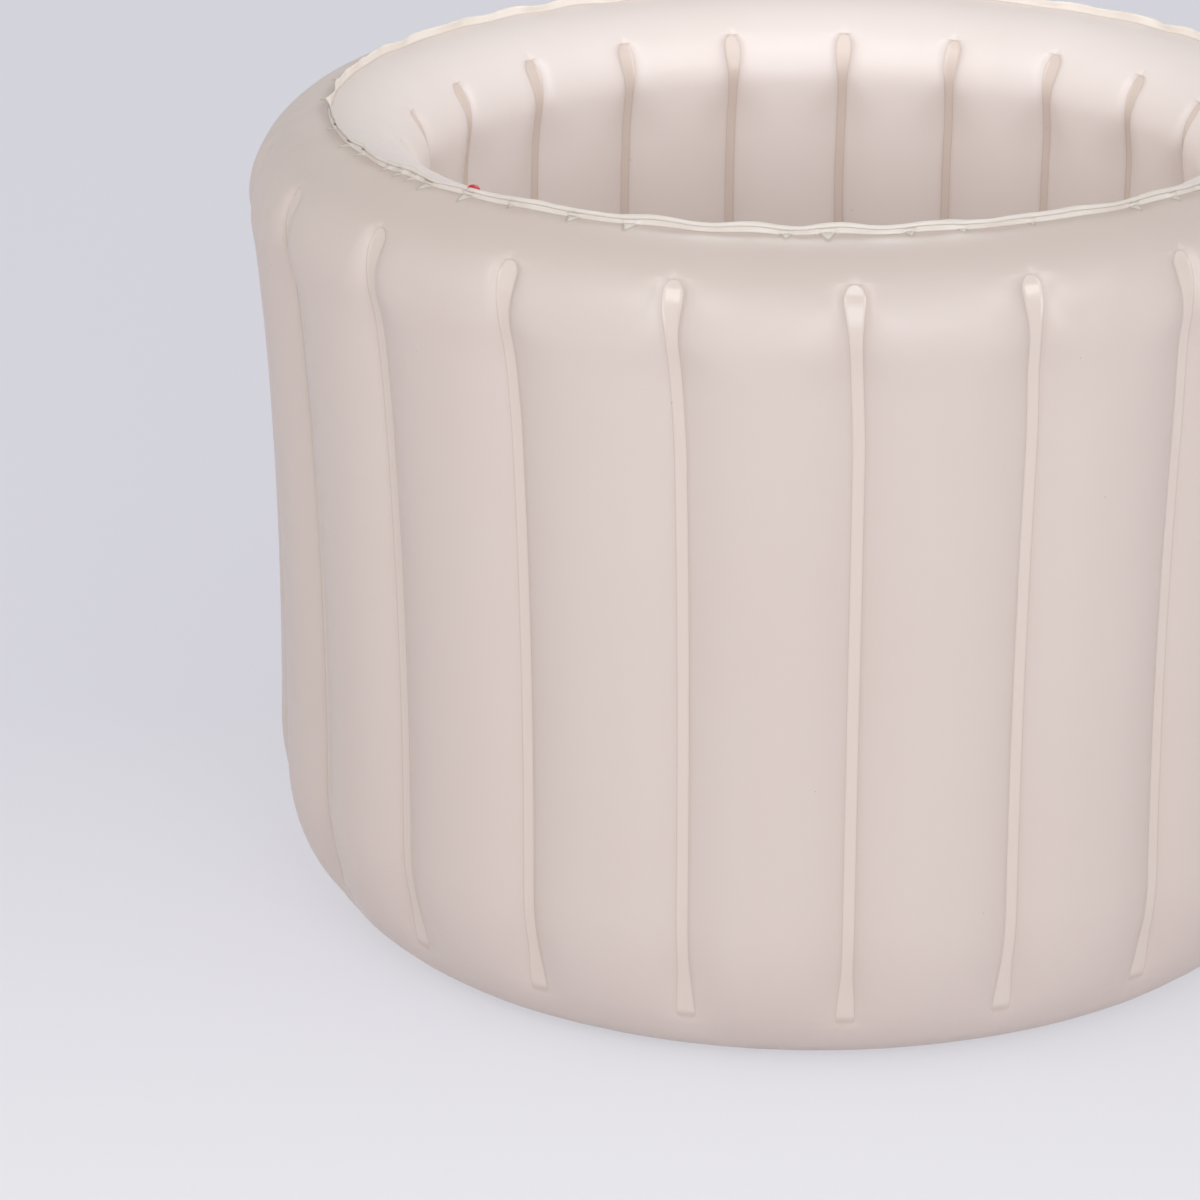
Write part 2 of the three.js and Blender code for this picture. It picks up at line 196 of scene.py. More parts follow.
# Valves
valve_flange_radius = 12
valve_flange_thickness = 0.8
valve_flange_seat_share = 0.2
valve_flange_edge = 0.35
valve_flange_slope = 1.4
valve_flange_dish = 0.2
collar_foot = 1.6
collar_top = 0.9
neck_radius = 4.8
neck_bore_radius = 2.9
neck_rim_radius = 6.2
neck_rim_thickness = 0.8
neck_depth = 14
flap_thickness = 0.5
shank_radius = 2.5
shank_length = 8
plug_radius = 4.3
plug_dome = 3
plug_edge = 0.8
seat_flat = 2
seat_blend = 16
seat_height_share = 0.6

# Drain
drain_bore_radius = 12
drain_seat_wall = 1.6
drain_flange_radius = 27
drain_flange_thickness = 1.8
drain_flange_slope = 4
drain_flange_drop = 0.7
drain_head_radius = 17
drain_head_thickness = 2.6
drain_head_slope = 1.5
drain_head_rim = 4
drain_head_drop = 0.3
drain_head_dish = 0.5
drain_stem_taper = 0.3
drain_lift = 0.6
tab_width = 16
tab_height = 17
tab_thickness = 2.4
tab_hole_radius = 4.5
tab_root = 0.6
tab_steps = 24
# Across the tab's edge: shares of half its thickness, and how far the plate is cut back there
tab_edge = [(-1, 0.55), (-0.86, 0.14), (-0.6, 0), (0.6, 0), (0.86, 0.14), (1, 0.55)]

# Mouldings: how round their corners are, and segments round them
moulding_rounding = 0.3
flap_rounding = 0.15
plug_rounding = 0.25
grommet_rounding = 0.4
stopper_rounding = 0.5
corner_share = 0.45
corner_points = 5
flange_segments = 72
stem_segments = 48
dome_rows = 9
drain_segments = 96

# Limits for points that lie on an axis or in one place
axis_limit = 1e-6
same_place = 0.01

# Hole in the floor and the base, and levels at the foot
drain_hole_radius = drain_bore_radius + drain_seat_wall + lap
base_top = film
foot_level = base_top + lap
inner_foot_level = foot_level + film + lap
floor_level = foot_level + film
drain_level = floor_level + lap

channel_angle = 2 * math.pi / channel_count


def smooth(x, low, high):
    """0 below low, 1 above high and a soft step between, also where low is the larger."""
    t = np.clip((np.asarray(x, float) - low) / (high - low), 0, 1)
    return t * t * (3 - 2 * t)


def ramp(x, line, span):
    """A soft step between two offsets from a line."""
    return smooth(x, line + span[0], line + span[1])


def waves(count, turns, length, size):
    """A gentle random field over the ring: a function of angle and height, about size high."""
    lobes = rng.integers(turns[0], turns[1] + 1, count)
    climb = rng.uniform(-1, 1, count) * 2 * math.pi / length
    phase = rng.uniform(0, 2 * math.pi, count)
    scale = size * math.sqrt(2 / count)

    def field(angle, height):
        total = 0
        for n, m, p in zip(lobes, climb, phase):
            total = total + np.cos(n * angle + m * height + p)
        return total * scale

    return field


def polar(radius, angle, height):
    """Points from radius, angle and height arrays."""
    radius, angle, height = np.broadcast_arrays(radius, angle, height)
    return np.stack([radius * np.sin(angle), -radius * np.cos(angle), height], -1)


# Meshes
def make_object(name, points, faces, shade=True):
    """An object from points in millimetres."""
    mesh = bpy.data.meshes.new(name)
    mesh.from_pydata((np.asarray(points) * MM).tolist(), [], faces)
    mesh.validate()
    if shade:
        mesh.shade_smooth()
    made = bpy.data.objects.new(name, mesh)
    bpy.context.scene.collection.objects.link(made)
    return made


def bridge(a, count_a, b, count_b):
    """Faces between two closed loops of points, whose counts are equal or one a multiple of the
    other. a and b are the loops' first points."""
    if count_a == count_b:
        i = np.arange(count_a)
        j = (i + 1) % count_a
        return np.stack([a + i, a + j, b + j, b + i], 1).tolist()
    if count_a < count_b:
        return [face[::-1] for face in bridge(b, count_b, a, count_a)]
    times = count_a // count_b
    faces = []
    for coarse in range(count_b):
        near, far = b + coarse, b + (coarse + 1) % count_b
        for part in range(times):
            fine = coarse * times + part
            corner = near if part < (times + 1) // 2 else far
            faces.append([a + fine, a + (fine + 1) % count_a, corner])
            if part == (times + 1) // 2 - 1:
                faces.append([a + (fine + 1) % count_a, far, near])
    return faces


def ring_object(name, loops):
    """A closed ring-shaped body through closed loops of points; the last loop joins the first."""
    starts = np.cumsum([0] + [len(loop) for loop in loops])
    faces = []
    for i in range(len(loops)):
        k = (i + 1) % len(loops)
        faces += bridge(int(starts[i]), len(loops[i]), int(starts[k]), len(loops[k]))
    return make_object(name, np.concatenate(loops), faces)


def turned(name, profile, segments, place=None):
    """A turned body about its own Z from [radius, height] pairs. The profile may start and end on
    the axis."""
    profile = np.asarray(profile, float)
    angles = np.arange(segments) * 2 * math.pi / segments
    on_axis = profile[:, 0] < axis_limit
    points, starts = [], []
    for (radius, height), single in zip(profile, on_axis):
        starts.append(sum(len(p) for p in points))
        points.append(np.array([[0, 0, height]]) if single else polar(radius, angles, height))
    pairs = [(j, (j + 1) % segments) for j in range(segments)]
    faces = []
    for i in range(len(profile)):
        k = (i + 1) % len(profile)
        a, b = starts[i], starts[k]
        if on_axis[i] and on_axis[k]:
            continue
        if on_axis[i]:
            faces += [[a, b + after, b + j] for j, after in pairs]
        elif on_axis[k]:
            faces += [[a + j, a + after, b] for j, after in pairs]
        else:
            faces += bridge(a, segments, b, segments)
    made = make_object(name, np.concatenate(points), faces)
    if place is not None:
        made.data.transform(place)
    return made


def rounded(profile, radius, closed=True):
    """The profile with each corner off the axis rounded. An open profile keeps its two ends."""
    profile = np.asarray(profile, float)
    count = len(profile)
    out = []
    for i, corner in enumerate(profile):
        before, after = profile[i - 1] - corner, profile[(i + 1) % count] - corner
        if corner[0] < axis_limit or (not closed and i in (0, count - 1)):
            out.append(corner)
            continue
        length, next_length = np.hypot(*before), np.hypot(*after)
        reach = min(radius, corner_share * length, corner_share * next_length)
        start = corner + before / length * reach
        end = corner + after / next_length * reach
        for t in np.linspace(0, 1, corner_points):
            out.append((1 - t) ** 2 * start + 2 * t * (1 - t) * corner + t * t * end)
    return out


def paint(made, name, values):
    """A value for each corner of the mesh, which its material reads by name."""
    layer = made.data.attributes.new(name, "FLOAT", "POINT")
    layer.data.foreach_set("value", np.asarray(values, np.float32))


def face_out(made, close=False):
    """Turns the faces so that they point out of the body. Before that, close joins the points
    that meet and fills the holes."""
    work = bmesh.new()
    work.from_mesh(made.data)
    if close:
        bmesh.ops.remove_doubles(work, verts=work.verts, dist=same_place * MM)
        bmesh.ops.holes_fill(work, edges=[edge for edge in work.edges if edge.is_boundary])
    bmesh.ops.recalc_face_normals(work, faces=work.faces)
    work.to_mesh(made.data)
    work.free()


# Shape of the wall
def outer_weld_radius(z):
    """Radius of the outer welds: a parabola through the foot, the middle and the rim."""
    t = z / seam_height
    middle = 4 * t * (1 - t) * weld_radius
    foot = (1 - t) * (1 - 2 * t) * (weld_radius + foot_flare)
    rim = t * (2 * t - 1) * (weld_radius + rim_flare)
    return foot + middle + rim


class Skin:
    """One skin of the wall: its crest line by length along it, and the depth of its welds."""

    def __init__(self, side):
        self.side = side
        is_outer = side > 0
        self.swell = outer_swell if is_outer else inner_swell
        self.band = outer_band_width if is_outer else inner_band_width
        self.head = outer_head_width if is_outer else inner_head_width
        self.flange = outer_flange_height if is_outer else inner_flange_height
        seat = foot_seam_radius if is_outer else foot_seam_radius - lap_width
        margin = -lap_width if is_outer else lap_width - lap
        level = foot_level if is_outer else inner_foot_level
        arch_rise = outer_arch_rise if is_outer else inner_arch_rise
        arch_foot = seam_height - arch_rise

        def crest(z):
            if is_outer:
                return outer_weld_radius(z) - outer_weld_sink + self.swell
            return np.full_like(z, weld_radius - wall_depth - self.swell, dtype=float)

        turn = np.linspace(0, math.pi / 2, arc_samples)
        foot_r = seat + (crest(foot_rise) - seat) * np.sin(turn)
        foot_z = foot_rise - (foot_rise - level) * np.cos(turn)
        wall_z = np.linspace(foot_rise, arch_foot, wall_samples)[1:-1]
        arch_r = seam_radius + (crest(arch_foot) - seam_radius) * np.cos(turn)
        arch_z = arch_foot + arch_rise * np.sin(turn)
        layer = seam_radius + side * (lap / 2 + film)
        rim_z = [seam_height, seam_height + self.flange]
        r = np.concatenate([[seat + margin], foot_r, crest(wall_z), arch_r[:-1], [layer, layer]])
        z = np.concatenate([[level], foot_z, wall_z, arch_z[:-1], rim_z])
        length = np.concatenate([[0], np.cumsum(np.hypot(np.diff(r), np.diff(z)))])
        self.length = length[-1]
        self.seam = self.length - self.flange
        self.s = np.arange(0, self.length, sample_step)
        self.r = self.soften(np.interp(self.s, length, r))
        self.z = self.soften(np.interp(self.s, length, z))
        slope_r = np.gradient(self.r, self.s)
        slope_z = np.gradient(self.z, self.s)
        size = np.hypot(slope_r, slope_z)
        self.out_r = side * slope_z / size
        self.out_z = -side * slope_r / size
        self.top = self.at_height(weld_top)
        self.low = self.at_height(weld_bottom)

    def soften(self, values):
        """Rounds the corners where the sheet turns up into the rim flange."""
        count = 2 * soften_samples + 1
        padded = np.pad(values, soften_samples, mode="edge")
        soft = np.convolve(padded, np.ones(count) / count, "valid")
        end = self.s[-1]
        keep = smooth(self.s, 0, soften_end) * smooth(self.s, end, end - soften_end)
        return values + (soft - values) * keep

    def at_height(self, height):
        """Length along the skin at which it first passes a height."""
        return float(self.s[np.argmax(self.z >= height)])

    def crest(self, s):
        """Radius, height and outward direction of the crest line at a length along it."""
        return [np.interp(s, self.s, line) for line in (self.r, self.z, self.out_r, self.out_z)]


outer = Skin(1)
inner = Skin(-1)


def half_band(skin, s):
    """Half the width of a weld band by length along the skin: a fan, a strip and a round head."""
    strip, head, fan_end = skin.band / 2, skin.head / 2, fan_width / 2
    head_start = skin.top - head_end
    fan = strip + (fan_end - strip) * smooth(s, skin.low + fan_length, skin.low)
    widening = smooth(s, head_start - head_taper, head_start) ** head_taper_power
    width = np.maximum(fan, strip + (head - strip) * widening)
    over = np.clip((s - head_start) / head_end, 0, 1)
    width = np.where(s > head_start, head * np.sqrt(1 - over**2), width)
    under = np.clip((skin.low - s) / fan_end, 0, 1)
    width = np.where(s < skin.low, fan_end * np.sqrt(1 - under**2), width)
    return np.maximum(width, least_half_band)


def from_band(skin, s, r, across):
    """Distance to the edge of the nearest weld band."""
    return np.minimum(across, 1 - across) * (channel_angle * r - 2 * half_band(skin, s))


# Random unevenness of the wall, shared by both skins and the strips
swing = waves(count=6, turns=(2, 5), length=1400, size=0.9)
lean = waves(count=5, turns=(1, 4), length=900, size=0.0022)
belly_noise = waves(count=10, turns=(9, 30), length=320, size=0.16)
fine_noise = waves(count=14, turns=(40, 90), length=70, size=0.05)
swell_spread = 0.09
swell_reach_share = 0.6
channel_swell = 1 + rng.uniform(-swell_spread, swell_spread, channel_count)

# Pleats of the rim seam: places in channels from the first weld line, and sizes. They are placed
# one by one in front and at random behind.
pleat_half = 5.6
pleat_length = 11.5
pleat_rise = 1.1
pleat_power = 0.75
pleat_edge = (0.6, -0.8)
pleat_slots = [(-3.51, 0.6), (-3.34, 0.7), (-3.19, 0.7), (-3.01, 1), (-2.63, 1), (-2.26, 0.5)]
pleat_slots += [(-1.785, 0.9), (-1.39, 1), (-0.39, 0.8), (-0.134, 1), (0.38, 0.7)]
pleat_gaps = (0.25, 0.85)
pleat_sizes = (0.5, 1)
last_pleat_slot = channel_count - 4.1
while pleat_slots[-1][0] < last_pleat_slot:
    next_slot = pleat_slots[-1][0] + rng.uniform(*pleat_gaps)
    pleat_slots.append((next_slot, rng.uniform(*pleat_sizes)))
rim_wave = waves(count=9, turns=(14, 44), length=500, size=0.6)
rim_ripple = waves(count=12, turns=(70, 130), length=500, size=0.24)
rim_sway = waves(count=10, turns=(18, 60), length=500, size=0.9)


def pleats(angle, below):
    """Small pointed folds that run out of the rim seam: 1 on a fold, by the distance below the
    seam."""
    total = np.zeros_like(angle)
    for slot, size in pleat_slots:
        middle = first_weld_angle + slot * channel_angle
        away = np.abs((angle - middle + math.pi) % (2 * math.pi) - math.pi) * seam_radius
        left = 1 - below / (pleat_length * size)
        half = pleat_half * size * np.clip(left, 0, 1) ** pleat_power
        total = np.maximum(total, ramp(away, half, pleat_edge) * (left > 0))
    return total


def skin_points(skin, s, angle, across, offset=0.0):
    """Points of a skin. s is the length along it, angle the place round it, and across the share
    of the channel's free width, 0 on the weld bands."""
    r, z, out_r, out_z = skin.crest(s)
    narrow = ramp(s, skin.top, valley_narrows_at_top)
    depth = (1 - head_valley_loss_share * narrow) * ramp(s, skin.top, valley_ends_at_top)
    depth = depth * ramp(s, skin.low, valley_ends_at_bottom)
    tight = np.abs(2 * across - 1) ** (valley_power + head_valley_power * narrow)
    loose = 0.5 + 0.5 * np.cos(2 * math.pi * across)
    valley = tight + (loose - tight) * ramp(s, skin.low, valley_opens_at_bottom)
    turn = (angle - first_weld_angle) / channel_angle
    channel = np.floor(turn).astype(int) % channel_count
    from_weld = 1 - np.abs(2 * (turn - np.floor(turn)) - 1)
    uneven = (channel_swell[channel] - 1) * smooth(from_weld, 0, swell_reach_share)
    swell = skin.swell * (1 + uneven)
    sink = skin.swell * depth * valley - (swell - skin.swell) * depth * (1 - valley)
    edge = from_band(skin, s, r, across)
    on_weld = ramp(s, skin.low, groove_ends_at_bottom) * ramp(s, skin.top, groove_ends_at_top)
    head = 1 + head_groove_gain * ramp(s, skin.top, groove_widens_at_top)
    groove = groove_depth * head * np.exp(-((edge / (groove_width * head)) ** 2)) * on_weld
    off_band = smooth(edge, *uneven_from_band)
    body = smooth(s, *uneven_from_foot) * ramp(s, skin.seam, uneven_from_seam)
    bumps = (belly_noise(angle, z) + fine_noise(angle, z)) * off_band * body
    below = np.clip(skin.seam - s, 0, None)
    fold = pleats(angle, below) if skin.side > 0 else 0
    out = offset - sink - groove + bumps + pleat_rise * fold
    stand = np.clip((s - skin.seam) / inner_flange_height, 0, None)
    curl = stand * (rim_sway(angle, 0) + rim_ripple(angle, 0))
    radial = out * out_r + skin.side * swing(angle, z) * body + curl
    wave_share = seam_wave_share + (1 - seam_wave_share) * stand
    wave = np.exp(-below / seam_wave_reach) * rim_wave(angle, 0) * wave_share
    height = out * out_z + wave - fold_dip * fold * stand
    lean_here = lean(angle, z) * body + head_lean * ramp(s, skin.top, lean_starts_at_top)
    return polar(r + radial, angle + lean_here, z + height)


def columns(skin, s, times=1):
    """Angles round the ring, and shares of each channel's free width, at one length along the
    skin. Every column is parted into as many as times says."""
    half = float(half_band(skin, s)) / float(np.interp(s, skin.s, skin.r))
    free = channel_angle - 2 * half
    tied = np.concatenate([band_shares * half, half + free * belly_shares])
    even = column_shares * channel_angle - half
    above = smooth(s, skin.top + even_above_top, skin.seam - even_below_seam)
    below = smooth(s, skin.low - even_below_bottom, even_foot)
    one = tied + (even - tied) * max(float(above), float(below))
    one = np.append(one, one[0] + channel_angle)
    parts = np.arange(len(one) * times - times + 1) / times
    one = np.interp(parts, np.arange(len(one)), one)[:-1]
    across = np.where(one < half, 0.0, (one - half) / free)
    starts = first_weld_angle + np.arange(channel_count) * channel_angle
    return (starts[:, None] + one[None, :]).reshape(-1), np.tile(across, channel_count)


def skin_loop(skin, s, times=1, every=1, offset=0.0):
    """One row of a skin's points, with more columns by times or fewer by every."""
    angle, across = columns(skin, s, times)
    return skin_points(skin, np.full_like(angle, s), angle, across, offset)[::every]


def skin_rows(skin):
    """Lengths along the skin for the coarse and the fine rows of its face."""
    head_start = skin.top - head_end
    upper = skin.top - upper_rows_length
    fans = [skin.low - fan_rows_below, skin.low + fan_rows_above]
    rise = skin.at_height(foot_rise)
    marks = [lap_width, *fans, rise, upper, head_start - head_taper, head_start]
    coarse = [[0.0, lap_width / 2]]
    for start, end, count in zip(marks, marks[1:], part_rows):
        coarse.append(np.linspace(start, end, count, endpoint=False))
    coarse.append(skin.top - head_end * (1 - np.sin(np.linspace(0, math.pi / 2, head_rows))))
    arch_start = skin.seam - arch_rows_length
    throat = np.linspace(skin.top + head_row_gap, arch_start, throat_rows, endpoint=False)
    coarse = np.concatenate(coarse + [throat])
    left = (1 - np.linspace(0, 1, arch_rows, endpoint=False)) ** arch_rows_power
    rim = np.linspace(skin.seam, skin.length - edge_row_gap, flange_rows)
    fine = np.concatenate([skin.seam - arch_rows_length * left, rim])
    return np.unique(np.round(coarse, 4)), fine


# Points of each sheet's face, which come before those of its back
front_counts = {}


def make_skin(name, skin):
    """A skin as one closed body: its face from foot to rim, and its back with fewer points."""
    coarse, fine = skin_rows(skin)
    face = [skin_loop(skin, s) for s in coarse]
    face += [skin_loop(skin, s, times=fine_times) for s in fine]
    back = [skin_loop(skin, s, times=fine_times, offset=-film) for s in fine[::-2]]
    back += [skin_loop(skin, s, every=back_every, offset=-film) for s in coarse[-2::-2]]
    made = ring_object(name, face + back)
    front_counts[made.name] = sum(len(loop) for loop in face)
    paint_skin(made, skin, coarse, fine, back)
    face_out(made)
    return made


def paint_skin(made, skin, coarse, fine, back):
    """Marks the weld bands and the rim seam, from 0 on the free sheet to 1. The pleats take the
    rim mark as a painted highlight, with painted shadow along their edges.
    """
    weld, rim = [], []
    for s, times in [(s, 1) for s in coarse] + [(s, fine_times) for s in fine]:
        angle, across = columns(skin, s, times)
        edge = from_band(skin, s, float(np.interp(s, skin.s, skin.r)), across)
        on_weld = ramp(s, skin.low, mark_ends_at_bottom) * ramp(s, skin.top, mark_ends_at_top)
        weld.append(smooth(edge, *mark_ends_at_band) * on_weld)
        on_rim = np.full_like(angle, ramp(s, skin.seam, mark_starts_at_seam))
        # Painted highlight: the pleats on the arch take the rim's light colour
        if skin.side > 0 and s > skin.seam - pleat_length:
            on_rim = np.maximum(on_rim, pleats(angle, max(skin.seam - s, 0)))
        # Painted shade: a thin dark line along the outer flange's top edge
        if skin.side > 0 and s > skin.length - rim_edge:
            on_rim = rim_edge_shade * on_rim
        rim.append(on_rim)
    rest = sum(len(loop) for loop in back)
    near = sum(len(loop) for loop in back[:2])
    paint(made, "weld", np.concatenate(weld + [np.zeros(rest)]))
    paint(made, "rim", np.concatenate(rim + [np.ones(near), np.zeros(rest - near)]))


outer_skin = make_skin("outer_wall", outer)
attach(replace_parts(outer_skin, "outer_skin"), "tub")
inner_skin = make_skin("inner_wall", inner)
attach(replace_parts(inner_skin, "inner_skin"), "tub")


# Air floor and base
floor_ripple = waves(count=10, turns=(24, 60), length=1000, size=0.8)
floor_swing = waves(count=5, turns=(2, 6), length=400, size=0.72)


def air_profile(from_radius, to_radius, angles):
    """Top of an air cushion between two radii."""
    middle, half = (from_radius + to_radius) / 2, (from_radius - to_radius) / 2
    height = floor_level + floor_crown * np.sin(angles) ** floor_crown_power
    return np.stack([middle + half * np.cos(angles), height], 1)


def ring_face():
    """Profile of the floor's outer ring from its margin on the inner skin to the ring weld."""
    margin = []
    for height in margin_heights:
        r, z, out_r, out_z = inner.crest(inner.at_height(height))
        margin.append([r + margin_lift * out_r, z + margin_lift * out_z])
    weld_edge = ring_weld_radius + ring_weld_width / 2
    turn = np.linspace(margin_end_turn, math.pi, ring_rows)
    wide = air_profile(margin[-1][0] + margin_lift, weld_edge, turn)
    flat = np.linspace(wide[-1], [ring_weld_radius + lap / 2, floor_level], weld_rows)[1:]
    return np.concatenate([margin, wide, flat])


def centre_face():
    """Profile of the floor's middle cushion from the ring weld to the drain."""
    weld_edge = ring_weld_radius - ring_weld_width / 2
    start, end = [ring_weld_radius - lap / 2, floor_level], [weld_edge, floor_level]
    flat = np.linspace(start, end, weld_rows)[:-1]
    narrow = air_profile(weld_edge, hub_weld_radius, np.linspace(0, math.pi, centre_rows))
    start, end = [hub_weld_radius, floor_level], [drain_hole_radius, floor_level]
    hub = np.linspace(start, end, hub_rows)[1:]
    return np.concatenate([flat, narrow, hub])


def make_cushion(name, profile):
    """A floor sheet as one closed body, with puckers beside its welds, and its welds marked."""
    angle = np.arange(floor_columns) * 2 * math.pi / floor_columns
    loops, marks = [], []
    for r, z in profile:
        climb = (z - floor_level) / floor_crown
        from_ring, from_hub = np.abs(r - ring_weld_radius), np.abs(r - hub_weld_radius)
        near_weld = np.exp(-from_ring / ring_pucker_reach) + np.exp(-from_hub / hub_pucker_reach)
        ripple = floor_ripple(angle, r) * near_weld * smooth(climb, *pucker_starts)
        loops.append(polar(r, angle, z + np.clip(climb, 0, 1) * floor_swing(angle, r) + ripple))
        on_ring = from_ring < ring_weld_width / 2 + weld_mark_margin
        marks.append(np.full(floor_columns, float(on_ring or r < hub_weld_radius)))
    down = np.array([0, 0, film * floor_back_share])
    back = [loop[::floor_back_columns_every] - down for loop in loops[::-floor_back_rows_every]]
    made = ring_object(name, loops + back)
    front_counts[made.name] = sum(len(loop) for loop in loops)
    marks.append(np.zeros(sum(len(loop) for loop in back)))
    paint(made, "weld", np.concatenate(marks))
    paint(made, "rim", np.zeros(len(made.data.vertices)))
    face_out(made)
    return made


floor_sheet = make_cushion("floor_cushion", ring_face())
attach(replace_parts(floor_sheet, "floor_sheet"), "tub")
centre_sheet = make_cushion("centre_cushion", centre_face())
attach(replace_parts(centre_sheet, "floor_centre_sheet"), "tub")

edge_radius = foot_seam_radius + base_margin
base_profile = [[drain_hole_radius, 0], [edge_radius, 0]]
base_profile += [[edge_radius, base_top], [drain_hole_radius, base_top]]
base_sheet = turned("base_disc", base_profile, base_columns)
for mark in ("weld", "rim"):
    paint(base_sheet, mark, np.zeros(len(base_sheet.data.vertices)))
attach(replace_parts(base_sheet, "base_sheet"), "tub")


# Inner strips that tie the two skins together at every weld line
def strip_section(angle, height):
    """Outline of a strip at one height: a tab on each skin's back and the web between them."""
    section = []
    for skin in (outer, inner):
        s = skin.at_height(height)
        r = float(np.interp(s, skin.s, skin.r))
        half = float(half_band(skin, s)) - lap
        near, far = -film - lap, -2 * film - lap

        def corner(sideways, offset):
            at = np.array([angle + sideways / r])
            return skin_points(skin, np.array([s]), at, np.array([0.0]), offset)[0]

        tab = [corner(-half, near), corner(half, near), corner(half, far), corner(film / 2, far)]
        section += [tab, [corner(-film / 2, far), corner(-half, far)]]
    out_tab, out_under, in_tab, in_under = section
    return out_tab + in_tab[::-1] + in_under[::-1] + out_under


def make_strip(number):
    angle = first_weld_angle + number * channel_angle
    low, high = weld_bottom + strip_above_bottom, weld_top - strip_below_top
    loops = [strip_section(angle, height) for height in np.linspace(low, high, strip_rows)]
    size = len(loops[0])
    points = np.array(loops).reshape(-1, 3)
    faces = []
    for i in range(strip_rows - 1):
        faces += bridge(i * size, size, (i + 1) * size, size)
    faces += [list(range(size))[::-1], [len(points) - size + j for j in range(size)]]
    made = make_object(f"wall_strip_{number + 1:02d}", points, faces, shade=False)
    face_out(made)
    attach(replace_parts(made, f"baffle_strip_{number + 1:02d}"), "tub")
    return made


strips = [make_strip(number) for number in range(channel_count)]


# Valves
valve_flange_top = lap + valve_flange_thickness
rim_foot = valve_flange_top + lap
joint_axes = {joint["name"]: Vector(joint["axis"]) for joint in frame["joints"]}


def valve_place(name):
    """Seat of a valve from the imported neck: a point on the sheet that carries it, the neck's
    direction and the transform that stands a piece there."""
    way = joint_axes[f"{name}_lift"].normalized()
    corners = [v.co for v in frame["nodes"][f"{name}_neck"].data.vertices]
    reach = max(corner.dot(way) for corner in corners)
    top = [corner for corner in corners if corner.dot(way) > reach - same_place * MM]
    middle = sum(top, Vector()) / len(top)
    seat = middle - way * (rim_foot + neck_rim_thickness) * MM
    turn = Vector((0, 0, 1)).rotation_difference(way)
    return seat, way, Matrix.Translation(seat) @ turn.to_matrix().to_4x4()


def settle_sheet(made, seat, way, inside, outside):
    """Draws the sheet flat round a valve's seat, its face and its back each to its own level."""
    points = np.array([v.co for v in made.data.vertices])
    offset = points - np.array(seat)
    height = offset @ np.array(way)
    flat = np.linalg.norm(offset - height[:, None] * np.array(way), axis=1)
    near = np.abs(height) < outside * seat_height_share * MM
    pull = smooth(flat / MM, outside, inside) * near
    level = np.where(np.arange(len(points)) < front_counts[made.name], 0, -film * MM)
    points -= (pull * (height - level))[:, None] * np.array(way)
    made.data.vertices.foreach_set("co", points.reshape(-1).astype(np.float32))
    made.data.update()


def make_valve(name, sheet):
    """Collar on the sheet, tube with a rim, flap under the tube and the stopper in it."""
    seat, way, place = valve_place(name)
    flange_radius = valve_flange_radius
    settle_sheet(sheet, seat, way, flange_radius + seat_flat, flange_radius + seat_blend)
    bottom, top = lap * valve_flange_seat_share, valve_flange_top
    hole, dish = neck_radius + lap, valve_flange_top - valve_flange_dish
    flange = [[hole, bottom], [flange_radius, bottom], [flange_radius, bottom + valve_flange_edge]]
    flange += [[flange_radius - valve_flange_slope, dish], [hole + collar_foot, dish]]
    flange += [[hole + collar_top, top], [hole, top]]
    ring = turned(f"{name}_collar", rounded(flange, moulding_rounding), flange_segments, place)
    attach(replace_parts(ring, f"{name}_flange"), "tub")
    neck_top = rim_foot + neck_rim_thickness
    neck = [[neck_bore_radius, neck_top], [neck_rim_radius, neck_top], [neck_rim_radius, rim_foot]]
    neck += [[neck_radius, rim_foot], [neck_radius, -neck_depth], [neck_bore_radius, -neck_depth]]
    tube = turned(f"{name}_tube", rounded(neck, moulding_rounding), stem_segments, place)
    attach(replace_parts(tube, f"{name}_neck"), f"{name}_stem")
    under = -neck_depth - lap
    flap = [[0, under], [neck_radius, under]]
    flap += [[neck_radius, under - flap_thickness], [0, under - flap_thickness]]
    flap = rounded(flap, flap_rounding)
    disc = turned(f"{name}_non_return_flap", flap, stem_segments, place)
    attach(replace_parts(disc, f"{name}_flap"), f"{name}_flap")
    rest = neck_top + lap
    dome_foot = rest + plug_edge
    dome = [
        [plug_radius * math.cos(turn), dome_foot + plug_dome * math.sin(turn)]
        for turn in np.linspace(0, math.pi / 2, dome_rows)[:-1]
    ]
    dome.append([0, dome_foot + plug_dome])
    shank = [[0, rest - shank_length], [shank_radius - lap, rest - shank_length]]
    shank += [[shank_radius, rest], [plug_radius, rest]]
    shank = rounded(shank, plug_rounding, closed=False)
    stopper = turned(f"{name}_stopper_cap", shank + dome, stem_segments, place)
    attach(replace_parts(stopper, f"{name}_plug"), f"{name}_stopper")
    return ring, tube, disc, stopper


wall_valve = make_valve("wall_valve", inner_skin)
floor_valve = make_valve("floor_valve", floor_sheet)


